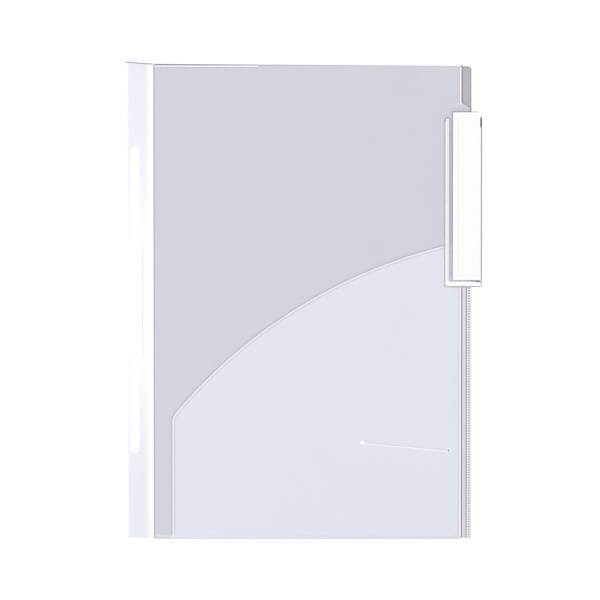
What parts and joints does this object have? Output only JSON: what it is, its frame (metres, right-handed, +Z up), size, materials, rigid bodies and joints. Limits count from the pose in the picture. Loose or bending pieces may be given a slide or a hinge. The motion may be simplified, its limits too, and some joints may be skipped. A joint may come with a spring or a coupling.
{
  "type": "medical chart folder",
  "caption": "A4 chart folder with a white spine band, clear covers, an inside pocket, a paper fastener and an index tab with a title card.",
  "frame": {"origin": "under the middle of the closed folder, on the surface it lies on", "axes": "+X from the spine to the fore edge, +Y towards the head, +Z up out of the front cover"},
  "size_m": [0.232, 0.31, 0.0123],
  "materials": {
    "band_white": "glossy white polypropylene band",
    "fastener_white": "white moulded plastic",
    "clear_cover": "frosted clear polypropylene sheet",
    "clear_back": "frosted clear polypropylene sheet",
    "clear_film": "clear plastic film with embossed welds",
    "card_white": "white card"
  },
  "bodies": {
    "spine": {"spine_band": "band_white", "fastener_strip": "fastener_white"},
    "front_leaf": {"front_cover": "clear_cover", "index_holder": "clear_film", "title_card": "card_white"},
    "back_leaf": {"back_cover": "clear_back"}
  },
  "joints": [
    {"name": "front_cover_hinge", "type": "hinge", "parent": "spine", "child": "front_leaf", "pos_m": [-0.09283, 0, 0.012], "axis": [0, -1, 0], "range_deg": [0, 175]},
    {"name": "back_cover_hinge", "type": "hinge", "parent": "spine", "child": "back_leaf", "pos_m": [-0.09283, 0, 0.0003], "axis": [0, 1, 0], "range_deg": [0, 175]}
  ]
}
